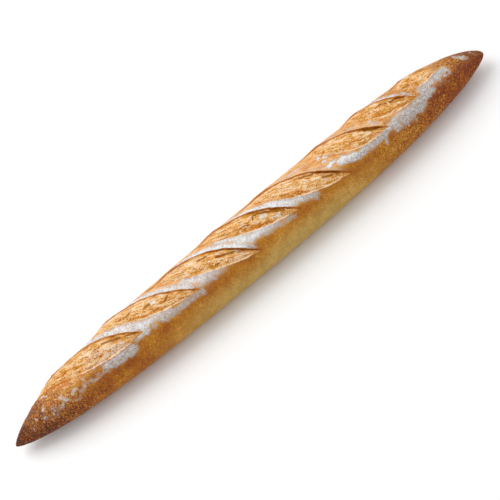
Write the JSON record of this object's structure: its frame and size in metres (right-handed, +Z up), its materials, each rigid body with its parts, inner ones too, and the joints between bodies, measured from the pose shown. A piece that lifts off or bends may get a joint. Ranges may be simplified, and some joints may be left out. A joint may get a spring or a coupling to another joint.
{
  "type": "baguette",
  "caption": "Long thin loaf of crusty white bread with pointed ends, a flat base and slanting, floured scores that have burst open along its crown.",
  "frame": {"origin": "under the middle of the loaf, on the plane it rests on", "axes": "+X along the loaf, towards the end with the last score; +Y across it, towards the side where each score starts; +Z up"},
  "size_m": [0.56, 0.0644, 0.048],
  "materials": {
    "crust": "dry golden-brown bread crust, darker at the ends and on the ears of the scores, rough and paler where the scores have torn open, dusted with white flour between them"
  },
  "bodies": {
    "root": {"loaf": "crust"}
  },
  "joints": []
}
